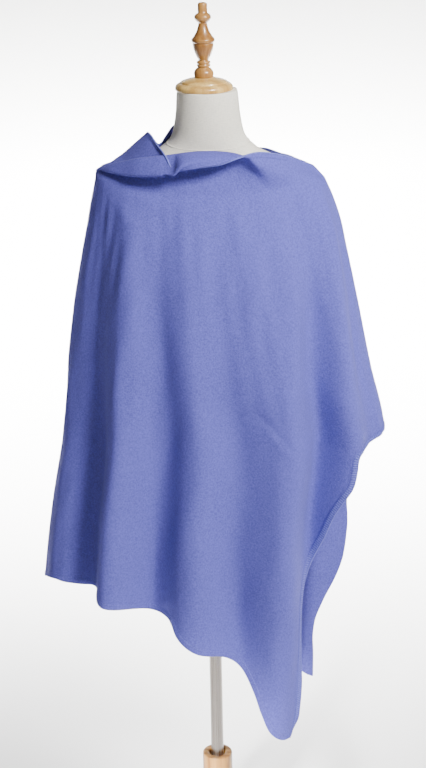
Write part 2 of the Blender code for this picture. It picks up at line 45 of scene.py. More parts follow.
def addCamera(view):
    data = bpy.data.cameras.new("studioCamera")
    camera = bpy.data.objects.new("studioCamera", data)
    bpy.context.scene.collection.objects.link(camera)
    data.sensor_width, data.lens = 36.0, view["lens"]
    pitch, roll = math.radians(view["pitch"]), math.radians(view["roll"])
    forward = Vector((0, math.cos(pitch), -math.sin(pitch)))
    right, up = Vector((1, 0, 0)), Vector((0, math.sin(pitch), math.cos(pitch)))
    turnedRight = right * math.cos(roll) - up * math.sin(roll)
    turnedUp = right * math.sin(roll) + up * math.cos(roll)
    turn = Matrix((turnedRight, turnedUp, -forward)).transposed().to_4x4()
    place = Vector(poleFoot) + Vector((view["aside"], -view["away"], view["height"]))
    camera.matrix_world = Matrix.Translation(place) @ turn
    data.clip_start, data.clip_end = 0.05, 60
    bpy.context.scene.camera = camera


addCamera(cameraView)
print("camera set")


# node and mesh helpers

def startMaterial(name, colour, **values):
    material = bpy.data.materials.new(name)
    material.use_nodes = True
    shader = material.node_tree.nodes["Principled BSDF"]
    shader.inputs["Base Color"].default_value = (*colour, 1)
    for key, value in values.items():
        shader.inputs[key].default_value = value
    material.diffuse_color = (*colour, 1)
    return material, material.node_tree, shader


def addNode(tree, kind, inputs=None, **settings):
    node = tree.nodes.new(kind)
    for key, value in settings.items():
        setattr(node, key, value)
    for key, value in (inputs or {}).items():
        if isinstance(value, bpy.types.NodeSocket):
            tree.links.new(value, node.inputs[key])
        else:
            node.inputs[key].default_value = value
    return node


def calc(tree, operation, *values):
    node = addNode(tree, "ShaderNodeMath", dict(enumerate(values)), operation=operation)
    return node.outputs[0]


def mixColour(tree, share, dark, light):
    node = addNode(tree, "ShaderNodeMix", data_type="RGBA")
    for key, value in (("Factor", share), ("A", dark), ("B", light)):
        socket = next(s for s in node.inputs if s.name == key and s.enabled)
        if isinstance(value, bpy.types.NodeSocket):
            tree.links.new(value, socket)
        else:
            socket.default_value = (*value, 1) if hasattr(value, "__len__") else value
    return next(s for s in node.outputs if s.enabled)


def tinted(colour, share):
    return [c * share for c in colour]


def spread(tree, value, low, high, start=0.0, end=1.0):
    node = addNode(tree, "ShaderNodeMapRange", {"Value": value, "From Min": low, "From Max": high,
                                                "To Min": start, "To Max": end})
    return node.outputs[0]


def addMesh(name, points, faces, paint):
    mesh = bpy.data.meshes.new(name)
    mesh.from_pydata(np.asarray(points).tolist(), [], faces)
    mesh.polygons.foreach_set("use_smooth", [True] * len(mesh.polygons))
    mesh.materials.append(paint)
    made = bpy.data.objects.new(name, mesh)
    bpy.context.scene.collection.objects.link(made)
    return made


def finishPiece(piece, slot, *nodes):  # nodes are the plain solids that the piece stands for
    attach(piece, "root")
    if nodes:
        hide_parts(*nodes)
    return piece


def unit(vectors):
    return vectors / np.maximum(np.linalg.norm(vectors, axis=-1, keepdims=True), 1e-9)


def smoothRamp(value):
    value = np.clip(value, 0, 1)
    return value * value * (3 - 2 * value)


# a smooth curve through a table's stops
def smoothAt(value, stops, heights):
    stops, heights = np.asarray(stops, float), np.asarray(heights, float)
    value = np.clip(value, stops[0], stops[-1])
    slope = np.gradient(heights, stops)
    low = np.clip(np.searchsorted(stops, value, side="right") - 1, 0, len(stops) - 2)
    width = stops[low + 1] - stops[low]
    part = (value - stops[low]) / width
    square, cube = part ** 2, part ** 3
    return ((2 * cube - 3 * square + 1) * heights[low] + (cube - 2 * square + part) * width * slope[low]
            + (3 * square - 2 * cube) * heights[low + 1] + (cube - square) * width * slope[low + 1])


def smoothRows(rows, parts):  # each gap between rows cut into parts
    rows = np.asarray(rows, float)
    marks = np.arange(len(rows))
    at = np.linspace(0, len(rows) - 1, (len(rows) - 1) * parts + 1)
    return np.stack([smoothAt(at, marks, rows[:, k]) for k in range(rows.shape[1])], -1)


# woven, knitted, turned and drawn surfaces

knitLook = {"colour": (0.103, 0.101, 0.45), "wale": 0.0017, "course": 0.0013, "stitchDeep": 0.0004,
            "grainDeep": 0.0008, "grain": 340, "fleck": 900, "patch": 9, "dark": 0.78, "light": 1.2,
            "line": 0.2}


def makeKnit(look, name):
    material, tree, shader = startMaterial(name, look["colour"], **{
        "Roughness": 0.9, "Sheen Weight": 0.07, "Sheen Roughness": 0.5, "Sheen Tint": (0.66, 0.66, 1, 1),
        "Specular IOR Level": 0.12})
    uv = addNode(tree, "ShaderNodeUVMap", uv_map="cloth").outputs[0]
    split = addNode(tree, "ShaderNodeSeparateXYZ", {0: uv})
    across, down = split.outputs[0], split.outputs[1]
    leg = calc(tree, "PINGPONG", across, look["wale"] / 2)
    slanted = calc(tree, "ADD", down, calc(tree, "MULTIPLY", leg, 0.9))
    course = calc(tree, "SINE", calc(tree, "MULTIPLY", slanted, 2 * math.pi / look["course"]))
    wale = calc(tree, "SINE", calc(tree, "MULTIPLY", leg, math.pi / look["wale"]))
    stitch = calc(tree, "ADD", calc(tree, "MULTIPLY", course, 0.35), wale)
    place = addNode(tree, "ShaderNodeTexCoord").outputs["Object"]
    grain, fleck, patch = (
        addNode(tree, "ShaderNodeTexNoise", {"Vector": at, "Scale": look[key], "Detail": detail}).outputs[0]
        for key, at, detail in (("grain", place, 3), ("fleck", uv, 2), ("patch", uv, 2)))
    base = look["colour"]
    dark, light = tinted(base, look["dark"]), tinted(base, look["light"])
    shade = mixColour(tree, spread(tree, grain, 0.3, 0.7), dark, light)
    shade = mixColour(tree, spread(tree, patch, 0.3, 0.7, 0, 0.15), shade, tinted(base, 1.12))
    shade = mixColour(tree, spread(tree, fleck, 0.45, 0.8, 0, 0.3), shade, [0.6 * c + 0.12 for c in base])
    # painted shade: the knit is darkened along the sunken hem stitch lines, where shade falls
    line = addNode(tree, "ShaderNodeAttribute", attribute_name="stitchLineShade").outputs["Fac"]
    shade = mixColour(tree, calc(tree, "MULTIPLY", line, look["line"]), shade, tinted(base, 0.45))
    tree.links.new(shade, shader.inputs["Base Color"])
    fine = addNode(tree, "ShaderNodeBump", {"Height": stitch, "Strength": 0.5,
                                            "Distance": look["stitchDeep"]}).outputs[0]
    coarse = addNode(tree, "ShaderNodeBump", {"Height": grain, "Strength": 0.7,
                                              "Distance": look["grainDeep"], "Normal": fine})
    tree.links.new(coarse.outputs[0], shader.inputs["Normal"])
    return material


linenLook = {"colour": (0.93, 0.885, 0.76), "thread": 0.0011, "deep": 0.0004, "dark": 0.86, "light": 1.06}


def makeLinen(look):
    material, tree, shader = startMaterial("creamLinen", look["colour"], **{
        "Roughness": 0.9, "Sheen Weight": 0.15, "Specular IOR Level": 0.25})
    uv = addNode(tree, "ShaderNodeUVMap", uv_map="weave").outputs[0]
    split = addNode(tree, "ShaderNodeSeparateXYZ", {0: uv})
    turns = 2 * math.pi / look["thread"]
    warp = calc(tree, "SINE", calc(tree, "MULTIPLY", split.outputs[0], turns))
    weft = calc(tree, "SINE", calc(tree, "MULTIPLY", split.outputs[1], turns))
    weave = calc(tree, "MULTIPLY", warp, weft)
    longSlub = addNode(tree, "ShaderNodeMapping", {"Vector": uv, "Scale": (60, 900, 1)}).outputs[0]
    tallSlub = addNode(tree, "ShaderNodeMapping", {"Vector": uv, "Scale": (900, 60, 1)}).outputs[0]
    slubs = [addNode(tree, "ShaderNodeTexNoise", {"Vector": v, "Scale": 1, "Detail": 2}).outputs[0]
             for v in (longSlub, tallSlub)]
    slub = calc(tree, "ADD", *slubs)
    base = look["colour"]
    dark, light = tinted(base, look["dark"]), tinted(base, look["light"])
    shade = mixColour(tree, spread(tree, slub, 0.75, 1.25), dark, light)
    tree.links.new(shade, shader.inputs["Base Color"])
    height = calc(tree, "ADD", calc(tree, "MULTIPLY", weave, 0.4), slub)
    bump = addNode(tree, "ShaderNodeBump", {"Height": height, "Strength": 0.5, "Distance": look["deep"]})
    tree.links.new(bump.outputs[0], shader.inputs["Normal"])
    return material


woodLook = {"dark": (0.24, 0.095, 0.018), "light": (0.50, 0.25, 0.065), "grain": 26.0}
capLook = {"dark": (0.48, 0.25, 0.055), "light": (0.80, 0.53, 0.17), "grain": 26.0}


def makeWood(name, look):
    material, tree, shader = startMaterial(name, look["light"], **{
        "Roughness": 0.34, "Coat Weight": 0.6, "Coat Roughness": 0.12, "Specular IOR Level": 0.45})
    place = addNode(tree, "ShaderNodeTexCoord").outputs["Object"]
    longways = addNode(tree, "ShaderNodeMapping", {"Vector": place, "Scale": (1, 1, 0.09)}).outputs[0]
    grain = addNode(tree, "ShaderNodeTexNoise", {"Vector": longways, "Scale": look["grain"] * 9, "Detail": 5,
                                                 "Distortion": 0.4}).outputs[0]
    ring = addNode(tree, "ShaderNodeTexWave", {"Vector": longways, "Scale": look["grain"], "Distortion": 5,
                                               "Detail": 3}, wave_type="RINGS").outputs["Fac"]
    share = calc(tree, "ADD", calc(tree, "MULTIPLY", ring, 0.4), calc(tree, "MULTIPLY", grain, 0.7))
    shade = mixColour(tree, spread(tree, share, 0.25, 0.85), look["dark"], look["light"])
    tree.links.new(shade, shader.inputs["Base Color"])
    tree.links.new(spread(tree, grain, 0.2, 0.8, 0.26, 0.44), shader.inputs["Roughness"])
    bump = addNode(tree, "ShaderNodeBump", {"Height": grain, "Strength": 0.15, "Distance": 0.0003})
    tree.links.new(bump.outputs[0], shader.inputs["Normal"])
    return material


steelLook = {"colour": (0.42, 0.38, 0.34), "dark": (0.34, 0.30, 0.27), "light": (0.50, 0.46, 0.42)}


def makeSteel(look):
    material, tree, shader = startMaterial("satinSteel", look["colour"], **{
        "Metallic": 1.0, "Roughness": 0.28})
    place = addNode(tree, "ShaderNodeTexCoord").outputs["Object"]
    drawn = addNode(tree, "ShaderNodeMapping", {"Vector": place, "Scale": (900, 900, 6)}).outputs[0]
    lines = addNode(tree, "ShaderNodeTexNoise", {"Vector": drawn, "Scale": 1, "Detail": 3}).outputs[0]
    tree.links.new(spread(tree, lines, 0.3, 0.7, 0.2, 0.36), shader.inputs["Roughness"])
    shade = mixColour(tree, lines, look["dark"], look["light"])
    tree.links.new(shade, shader.inputs["Base Color"])
    return material


knit = makeKnit(knitLook, "periwinkleKnit")
# a lighter copy of the knit for rims, ribs, stitches and seam: painted highlight where these raised edges
# catch the light
paintedHighlightKnit = makeKnit({**knitLook, "colour": (0.15, 0.16, 0.55)}, "paintedHighlightKnit")
linen = makeLinen(linenLook)
wood = makeWood("honeyWood", woodLook)
capWood = makeWood("paleCapWood", capLook)
steel = makeSteel(steelLook)
print("materials made")


# the poncho: one knitted rectangle folded at the wearer's right, hung by its neck slit

# the stitch line width sets how wide the painted shade along the hem stitch lines is
clothCut = {"wide": 0.87, "long": 0.86, "slit": 0.36, "wall": 0.0022, "sideHem": 0.012, "bottomHem": 0.010,
            "neckHem": 0.008, "hemRise": 0.0007, "hemCrown": 0.0004, "hemSoft": 0.0012, "stitchLineShade": 0.0011,
            "turnedSide": 0.11, "seamTuck": 0.07, "seamShare": 0.34, "ringPower": 2.15, "turnSize": 0.0042}
clothMesh = {"across": 138, "down": 128, "cowl": 44, "rough": 60, "edgeShare": 0.02}
edgeStops = np.array((0.0135, 0.0125, 0.0115, 0.0095, 0.006, 0.0025, 0.0008, 0.0))  # metres from an open edge
seamTurn = 179.9  # past this turn a point lies on the shoulder seam
foldFade = {"turn": 10, "top": 1.41, "fall": 0.09, "leanAt": 0.03}  # folds die out at sides and shoulders
ringSections = (  # height, left, right, front reach, back reach
    (0.350, -0.325, 0.262, 0.168, 0.160), (0.500, -0.320, 0.275, 0.168, 0.158),
    (0.650, -0.312, 0.290, 0.168, 0.155), (0.800, -0.291, 0.305, 0.166, 0.150),
    (0.940, -0.264, 0.310, 0.163, 0.145), (1.050, -0.250, 0.285, 0.160, 0.138),
    (1.180, -0.233, 0.259, 0.155, 0.128), (1.270, -0.216, 0.240, 0.145, 0.118),
    (1.320, -0.205, 0.229, 0.130, 0.108), (1.350, -0.199, 0.219, 0.117, 0.101),
    (1.380, -0.192, 0.207, 0.101, 0.090), (1.410, -0.186, 0.196, 0.076, 0.072))
foldLevels = (0.55, 0.85, 1.10, 1.35)
frontFolds = (  # name, angle at each level, height in mm at each level, half width, lean in mm
    ("side swell", (26, 20, 13, 12), (9, 8, 4, 0), 8, 0),
    ("side trough", (47, 41, 35, 31), (-36, -28, -15, -5), 10, 0),
    ("first ridge", (60, 55, 54, 54), (32, 27, 12, 3), 8, -13),
    ("second trough", (72, 70, 69, 69), (-32, -28, -13, -1), 8, 0),
    ("broad ridge", (88, 84, 82, 78), (19, 17, 8, 3), 8, -9),
    ("third trough", (101, 93, 91, 93), (-26, -19, -9, 0), 7, 0),
    ("low swell", (112, 107, 106, 104), (8, 6, 3, 0), 6, -4),
    ("shoulder ridge", (121, 114, 117, 138), (15, 20, 14, 8), 8, -5),
    ("deep trough", (128, 126, 129, 133), (-34, -50, -28, -9), 8, 0),
    ("outer ridge", (138, 138, 145, 154), (14, 18, 22, 14), 8, -10),
    ("flap trough", (153, 155, 158, 164), (-10, -12, -9, -4), 8, 0))
backFolds = (  # mostly hidden, so it hangs in the front's kind of fold
    ("side trough", (318, 326, 333, 338), (-28, -24, -14, -4), 10, 0),
    ("first ridge", (304, 312, 318, 322), (26, 22, 12, 4), 9, -8),
    ("second trough", (290, 296, 300, 304), (-24, -20, -10, -2), 9, 0),
    ("broad ridge", (273, 277, 280, 284), (18, 16, 9, 3), 9, 6),
    ("third trough", (256, 258, 262, 266), (-18, -14, -6, -1), 8, 0),
    ("low ridge", (240, 243, 246, 250), (17, 16, 10, 3), 8, 6),
    ("deep trough", (226, 228, 230, 226), (-30, -34, -22, -6), 9, 0),
    ("outer ridge", (210, 212, 213, 210), (24, 26, 18, 6), 9, 6),
    ("flap trough", (196, 197, 198, 196), (-10, -12, -10, -4), 8, 0))
frontHem = (  # turn in degrees and height
    (0, 0.650), (6, 0.659), (14, 0.670), (25, 0.682), (35, 0.676), (45, 0.671), (60, 0.660), (72, 0.642),
    (78, 0.635), (82, 0.605), (88, 0.580), (95, 0.562), (102, 0.527), (107, 0.480), (110, 0.440),
    (114, 0.402), (119, 0.384), (124, 0.377))
frontSide = ((180, 0.940), (157, 0.927), (141.5, 0.919), (140.5, 0.891), (139.5, 0.864), (137, 0.845),
             (134.4, 0.816), (131.4, 0.760), (129.2, 0.723), (127.2, 0.689), (125.5, 0.648), (125.3, 0.603),
             (126.7, 0.538), (128.6, 0.474), (128.9, 0.432), (128, 0.395), (124, 0.377))
backHem = ((0, 0.650), (15, 0.642), (30, 0.620), (45, 0.592), (60, 0.562), (75, 0.532), (90, 0.500),
           (105, 0.464), (120, 0.428), (130, 0.400), (139, 0.376))
backSide = ((180, 0.940), (168, 0.915), (156, 0.888), (148.7, 0.866), (143.9, 0.821), (142.8, 0.781),
            (143.1, 0.742), (144.3, 0.698), (144.7, 0.655), (144.4, 0.620), (143, 0.585), (139.8, 0.537),
            (137.7, 0.500), (137.4, 0.468), (138.2, 0.430), (139, 0.376))
frontNeck = (  # turn, seat height, then edge, lower bend and upper bend, mm
    (0, 1398, (-187, 0, 1409), (-187, -2, 1406), (-188, -2, 1402)),
    (24, 1397, (-174, 0, 1418), (-171, -26, 1412), (-170, -17, 1417)),
    (38, 1394, (-161, 0, 1422), (-157, -46, 1414), (-155, -33, 1424)),
    (50, 1390, (-139, -5, 1438), (-136, -68, 1414), (-134, -51, 1432)),
    (59, 1387, (-118, -12, 1457), (-117, -86, 1416), (-114, -67, 1439)),
    (67, 1385, (-98, -20, 1475), (-97, -99, 1418), (-95, -78, 1443)),
    (74, 1384, (-80, -58, 1461), (-80, -108, 1420), (-78, -84, 1446)),
    (80, 1383, (-65, -92, 1448), (-65, -114, 1421), (-63, -88, 1448)),
    (85, 1382, (-54, -112, 1430), (-52, -122, 1423), (-48, -89, 1450)),
    (91, 1382, (-38, -121, 1431), (-38, -127, 1439), (-35, -92, 1452)),
    (98, 1382, (-9, -126, 1436), (-9, -125, 1447), (-9, -94, 1454)),
    (106, 1383, (24, -124, 1440), (24, -121, 1449), (24, -97, 1454)),
    (113, 1384, (53, -118, 1449), (53, -115, 1450), (54, -102, 1450)),
    (121, 1386, (81, -101, 1453), (81, -104, 1446), (81, -106, 1438)),
    (131, 1388, (108, -79, 1447), (108, -84, 1439), (108, -89, 1430)),
    (142, 1391, (138, -46, 1434), (138, -53, 1427), (138, -61, 1419)),
    (152, 1391, (161, -18, 1423), (161, -25, 1418), (162, -33, 1412)),
    (163, 1389, (184, 0, 1409), (185, -7, 1405), (186, -14, 1400)),
    (180, 1376, (203, 0, 1388), (204, -1, 1384), (205, -1, 1380)))
backNeck = (  # the same columns
    (0, 1398, (-187, 0, 1409), (-187, 2, 1406), (-188, 2, 1402)),
    (22, 1397, (-174, 0, 1418), (-175, 10, 1413), (-176, 20, 1407)),
    (34, 1396, (-161, 0, 1422), (-163, 14, 1417), (-164, 30, 1409)),
    (46, 1395, (-139, -5, 1438), (-143, 15, 1430), (-145, 38, 1415)),
    (56, 1394, (-118, -12, 1457), (-122, 14, 1440), (-124, 44, 1419)),
    (64, 1394, (-98, -20, 1475), (-103, 12, 1452), (-106, 48, 1423)),
    (71, 1394, (-82, 5, 1450), (-87, 30, 1441), (-90, 57, 1421)),
    (77, 1394, (-74, 20, 1448), (-77, 44, 1440), (-78, 64, 1420)),
    (83, 1394, (-66, 40, 1456), (-67, 57, 1446), (-68, 72, 1421)),
    (89, 1394, (-51, 60, 1471), (-51, 70, 1454), (-51, 78, 1425)),
    (96, 1394, (-22, 72, 1480), (-22, 78, 1458), (-22, 82, 1427)),
    (104, 1394, (10, 77, 1474), (10, 82, 1453), (10, 84, 1424)),
    (112, 1394, (42, 73, 1448), (43, 79, 1434), (44, 83, 1415)),
    (120, 1394, (72, 65, 1429), (73, 72, 1421), (74, 80, 1409)),
    (129, 1394, (106, 40, 1430), (107, 54, 1424), (108, 69, 1410)),
    (142, 1393, (138, -46, 1434), (136, -10, 1432), (136, 32, 1420)),
    (154, 1392, (161, -18, 1423), (162, 0, 1419), (163, 18, 1411)),
    (164, 1389, (184, 0, 1409), (186, 6, 1406), (187, 12, 1401)),
    (180, 1376, (203, 0, 1388), (204, 1, 1384), (205, 1, 1380)))
sharedStations = (5, 15)  # between these the neck edge is free, outside them it is fold or seam
cowlMarks = (0.0, 0.36, 0.66, 0.90, 1.0)  # seat, upper bend, lower bend, hem line, edge
softWaves = (  # height in mm, degrees a wave, metres a wave, start
    (0.9, 17, 0.31, 0.4), (0.7, -11, 0.19, 1.9), (0.5, 7.3, 0.43, 3.1), (0.45, 23, -0.12, 5.0))
faintCreases = (  # from turn and height to turn and height, depth in mm, half width in m
    ((100, 1.03), (113, 0.945), -1.6, 0.006), ((103, 0.995), (114, 0.925), 1.2, 0.007),
    ((86, 1.36), (70, 1.33), -1.5, 0.010), ((126, 1.35), (104, 1.365), -1.6, 0.010),
    ((38, 1.385), (66, 1.352), -2.2, 0.012), ((36, 1.37), (58, 1.33), 1.6, 0.012),
    ((150, 1.36), (139, 1.25), 1.5, 0.010), ((128, 0.82), (136, 0.90), 2.0, 0.010))


# the smooth body of the drape, before its folds
def ringPoint(angle, height):
    rows = np.array(ringSections)
    left, right, front, back = (smoothAt(height, rows[:, 0], rows[:, k]) for k in (1, 2, 3, 4))
    cosine, sine = np.cos(angle), np.sin(angle)
    power = 2 / clothCut["ringPower"]
    x = (left + right) / 2 - (right - left) / 2 * np.sign(cosine) * np.abs(cosine) ** power
    y = np.where(sine > 0, -front, back) * np.abs(sine) ** power
    return np.stack([x, y, height + 0 * x], -1)


# slow waves everywhere and faint creases in front
def reliefAt(turn, height, isBack):
    shift = 2.3 if isBack else 0.0
    low = np.zeros_like(turn)
    for tall, degrees, metres, start in softWaves:
        wave = np.sin(2 * math.pi * (turn / degrees + height / metres) + start + shift)
        low += tall * wave * (0.6 + 0.4 * np.sin(turn / 9 + height * 11 + start))
    if not isBack:
        flat = np.stack([turn * clothCut["turnSize"], height], -1)
        for first, last, deep, wide in faintCreases:
            a = np.array((first[0] * clothCut["turnSize"], first[1]))
            b = np.array((last[0] * clothCut["turnSize"], last[1]))
            span = b - a
            part = np.clip((flat - a) @ span / (span @ span), 0, 1)
            away = np.linalg.norm(flat - a - part[..., None] * span, axis=-1)
            low += deep * np.exp(-(away / wide) ** 2) * np.sin(math.pi * np.clip(part, 0.08, 0.92))
    return low * 0.001


# a point of the hanging cloth: the ring, pushed out or in by each fold
def hangPoint(turn, height, isBack):
    angle = 360 - turn if isBack else turn
    radians = np.radians(angle)
    point = ringPoint(radians, height)
    along = unit(ringPoint(radians + 0.01, height) - ringPoint(radians - 0.01, height))
    out = np.stack([along[..., 1], -along[..., 0], 0 * along[..., 0]], -1)
    push, slide = np.zeros_like(height), np.zeros_like(height)
    for name, angles, heights, width, lean in (backFolds if isBack else frontFolds):
        centre = smoothAt(height, foldLevels, angles)
        tall = smoothAt(height, foldLevels, heights) * 0.001
        bell = np.exp(-((angle - centre) / width) ** 2)
        push += tall * bell
        slide += lean * 0.001 * bell * np.abs(tall) / foldFade["leanAt"]
    push += reliefAt(turn, height, isBack)
    quiet = smoothRamp(np.minimum(turn, 180 - turn) / foldFade["turn"])
    quiet = quiet * smoothRamp((foldFade["top"] - height) / foldFade["fall"])
    return point + out * (push * quiet)[..., None] + np.array([1.0, 0, 0]) * (slide * quiet)[..., None]


# a curve from the second point to the third that the first and fourth steer
def between(points, part):
    p0, p1, p2, p3 = points
    knots = [np.zeros(len(p1))]
    for a, b in ((p0, p1), (p1, p2), (p2, p3)):
        knots.append(knots[-1] + np.maximum(np.linalg.norm(b - a, axis=1), 1e-6) ** 0.5)
    k0, k1, k2, k3 = (k[:, None] for k in knots)
    t = k1 + (k2 - k1) * part[:, None]
    a1 = p0 + (p1 - p0) * (t - k0) / (k1 - k0)
    a2 = p1 + (p2 - p1) * (t - k1) / (k2 - k1)
    a3 = p2 + (p3 - p2) * (t - k2) / (k3 - k2)
    b1 = a1 + (a2 - a1) * (t - k0) / (k2 - k0)
    b2 = a2 + (a3 - a2) * (t - k1) / (k3 - k1)
    return b1 + (b2 - b1) * (t - k1) / (k2 - k1)


def neckGuide(turn, neck):
    turns = np.array([row[0] for row in neck], float)
    table = np.array([(z, *edge, *low, *high) for t, z, edge, low, high in neck], float) * 0.001
    marks = np.arange(len(turns))
    at = np.interp(turn, turns, marks)
    found = np.stack([smoothAt(at, marks, table[:, k]) for k in range(10)], -1)
    straight = np.stack([np.interp(at, marks, table[:, k]) for k in range(10)], -1)
    shared = (at <= sharedStations[0]) | (at >= sharedStations[1])
    found[:, 1:4] = np.where(shared[:, None], straight[:, 1:4], found[:, 1:4])
    return at, found


# the turned neckline, from the seat up and over to its free edge
def cowlPoints(turn, above, neck, isBack):
    at, guide = neckGuide(turn, neck)
    seat, edge, low, high = guide[:, 0], guide[:, 1:4], guide[:, 4:7], guide[:, 7:10]
    reach = np.linalg.norm(low - edge, axis=1)
    first = edge + (low - edge) * np.minimum(0.5, clothCut["neckHem"] / np.maximum(reach, 1e-6))[:, None]
    base, under = hangPoint(turn, seat, isBack), hangPoint(turn, seat - 0.03, isBack)
    chain = [under, base, high, low, first, edge, 2 * edge - first]
    point = base.copy()
    for k in range(4):
        start, end = cowlMarks[k], cowlMarks[k + 1]
        part = np.full(len(turn), np.clip((above - start) / (end - start), 0, 1))
        if start < above <= end:
            point = between(chain[k:k + 4], part)
    return point


def tableShare(rows, share):  # share runs from 0 to 1 along the table's line
    rows = np.array(rows, float)
    flat = rows * (clothCut["turnSize"], 1)
    mark = np.concatenate([[0], np.cumsum(np.linalg.norm(np.diff(flat, axis=0), axis=1))])
    mark /= mark[-1]
    return np.stack([smoothAt(share, mark, rows[:, k]) for k in (0, 1)], -1)


# turns and heights filled in between the panel's four edges
def panelPatch(neck, hem, side, shares, falls):
    turns = np.array([row[0] for row in neck], float)
    marks = np.arange(len(turns)) / (len(turns) - 1)
    fine = np.linspace(0, 180, 721)
    mixed = 0.5 * fine / 180 + 0.5 * np.interp(fine, turns, marks)
    topTurn = np.interp(shares, mixed, fine)
    seat = neckGuide(topTurn.ravel(), neck)[1][:, 0].reshape(topTurn.shape)
    top = np.stack([topTurn, seat], -1)
    seatLeft, seatRight = neck[0][1] * 0.001, neck[-1][1] * 0.001
    left = np.stack([np.zeros_like(falls), seatLeft + (hem[0][1] - seatLeft) * falls], -1)
    seamShare = clothCut["seamShare"]
    seam = np.stack([np.full_like(falls, 180.0),
                     seatRight + (side[0][1] - seatRight) * np.clip(falls / seamShare, 0, 1)], -1)
    lower = tableShare(side, np.clip((falls - seamShare) / (1 - seamShare), 0, 1).ravel())
    right = np.where((falls < seamShare)[..., None], seam, lower.reshape(seam.shape))
    bottom = tableShare(hem, shares.ravel()).reshape(left.shape)
    s, t = shares[..., None], falls[..., None]
    corners = [np.array(c, float) for c in ((0, seatLeft), (180, seatRight), hem[0], hem[-1])]
    place = ((1 - s) * left + s * right + (1 - t) * top + t * bottom - (1 - s) * (1 - t) * corners[0]
             - s * (1 - t) * corners[1] - (1 - s) * t * corners[2] - s * t * corners[3])
    return place, topTurn


# the panel as rows and columns, with how far each point lies from its open edges
def panelGrid(neck, hem, side, isBack):
    across, down, cowl = clothMesh["across"], clothMesh["down"], clothMesh["cowl"]
    coarse = np.linspace(0, 1, clothMesh["rough"])
    shares, falls = np.meshgrid(coarse, coarse)
    place = panelPatch(neck, hem, side, shares, falls)[0]
    rough = hangPoint(place[..., 0], place[..., 1], isBack)
    perShare = np.linalg.norm(rough[:, -1] - rough[:, -2], axis=1) * (len(coarse) - 1)
    perFall = np.linalg.norm(rough[-1] - rough[-2], axis=1) * (len(coarse) - 1)
    inner, lower = (np.linspace(0, 1, count - len(edgeStops) + 1)[:-1] for count in (across, down))
    shares = np.zeros((down, across))
    falls = np.zeros((down, across))
    thin = clothMesh["edgeShare"]
    guessFall, guessShare = (
        np.concatenate([row * (1 - thin), 1 - thin + thin * (1 - edgeStops / edgeStops[0])])
        for row in (lower, inner))
    sideSize = np.interp(guessFall, coarse, perShare)[:, None]
    hemSize = np.interp(guessShare, coarse, perFall)[None, :]
    shares[:, len(inner):] = 1 - edgeStops / sideSize
    shares[:, :len(inner)] = inner * (1 - edgeStops[0] / sideSize)
    falls[len(lower):] = 1 - edgeStops[:, None] / hemSize
    falls[:len(lower)] = lower[:, None] * (1 - edgeStops[0] / hemSize)
    place, topTurn = panelPatch(neck, hem, side, shares, falls)
    body = hangPoint(place[..., 0], place[..., 1], isBack)
    sideAway = np.where(falls > clothCut["seamShare"], (1 - shares) * sideSize, 1.0)
    hemAway = (1 - falls) * hemSize
    turns = topTurn[0]
    rows = [cowlPoints(turns, above, neck, isBack) for above in np.linspace(1, 0, cowl + 1)[:-1]]
    grid = np.concatenate([np.stack(rows), body])
    pad = np.full((cowl, across), 1.0)
    at = neckGuide(turns, neck)[0]
    steps = np.linalg.norm(np.diff(grid, axis=0), axis=2)
    run = np.concatenate([np.zeros((1, across)), np.cumsum(steps, axis=0)])
    free = (at > sharedStations[0]) & (at < sharedStations[1])
    neckAway = np.where(free[None, :], run, 1.0)
    cut = flatCut(at, run[cowl], shares, falls)
    upper = cut[0][None] + (flatEdge(at) - cut[0])[None] * (1 - run[:cowl] / run[cowl])[..., None]
    return {"points": grid, "side": np.concatenate([pad, sideAway]), "hem": np.concatenate([pad, hemAway]),
            "neck": neckAway, "flat": np.concatenate([upper, cut]), "stations": at, "cowl": cowl,
            "turns": np.concatenate([np.repeat(turns[None], cowl, 0), place[..., 0]])}


# the neck edge and the panel as they lie on the cutting table
def flatEdge(at):
    stations = (0, *sharedStations, len(frontNeck) - 1)
    a = np.interp(at, stations, (0, 0, clothCut["slit"], clothCut["slit"] + clothCut["seamTuck"]))
    b = np.interp(at, stations, (clothCut["turnedSide"], 0, 0, 0))
    return np.stack([a, b], -1)


def flatCut(at, fall, shares, falls):
    wide, long, seamShare = clothCut["wide"], clothCut["long"], clothCut["seamShare"]
    plumb = np.array((0.6, 0.8))  # straight down on the form, as the cloth lies flat
    fullness = (np.sin(np.pi * np.linspace(0, 1, len(at))) ** 0.5)[:, None]
    top = flatEdge(at) + plumb * fall[:, None] * fullness
    s, t = shares[..., None], falls[..., None]
    left = np.stack([np.zeros_like(falls), top[0, 1] + (long - top[0, 1]) * falls], -1)
    seam = np.stack([top[-1, 0] + (wide - top[-1, 0]) * falls / seamShare, 0 * falls], -1)
    side = np.stack([np.full_like(falls, wide), long * (falls - seamShare) / (1 - seamShare)], -1)
    right = np.where((falls < seamShare)[..., None], seam, side)
    bottom = np.stack([wide * shares, np.full_like(shares, long)], -1)
    corner = (top[0], top[-1], np.array((0, long)), np.array((wide, long)))
    return ((1 - s) * left + s * right + (1 - t) * top[None] + t * bottom - (1 - s) * (1 - t) * corner[0]
            - s * (1 - t) * corner[1] - (1 - s) * t * corner[2] - s * t * corner[3])


def outwardOf(grid, neck, isBack):
    points = grid["points"]
    normal = np.cross(np.gradient(points, axis=0), np.gradient(points, axis=1))
    middle = normal[-20, points.shape[1] // 2, 1]
    normal = unit(normal) * (1 if (middle > 0) == isBack else -1)
    edge = np.array([row[2] for row in neck], float)
    at = grid["stations"]
    first = np.minimum(at.astype(int), len(edge) - 2)
    run = edge[first + 1] - edge[first]
    up = unit(np.stack([-run[:, 2], 0 * run[:, 0], run[:, 0]], -1))
    joined = (at <= sharedStations[0]) | (at >= sharedStations[1])
    normal[0, joined] = up[joined]
    normal[1:, 0] = (-1, 0, 0)
    seamRows = grid["turns"][:, -1] > seamTurn
    normal[1:, -1][seamRows[1:]] = (1, 0, 0)
    return normal


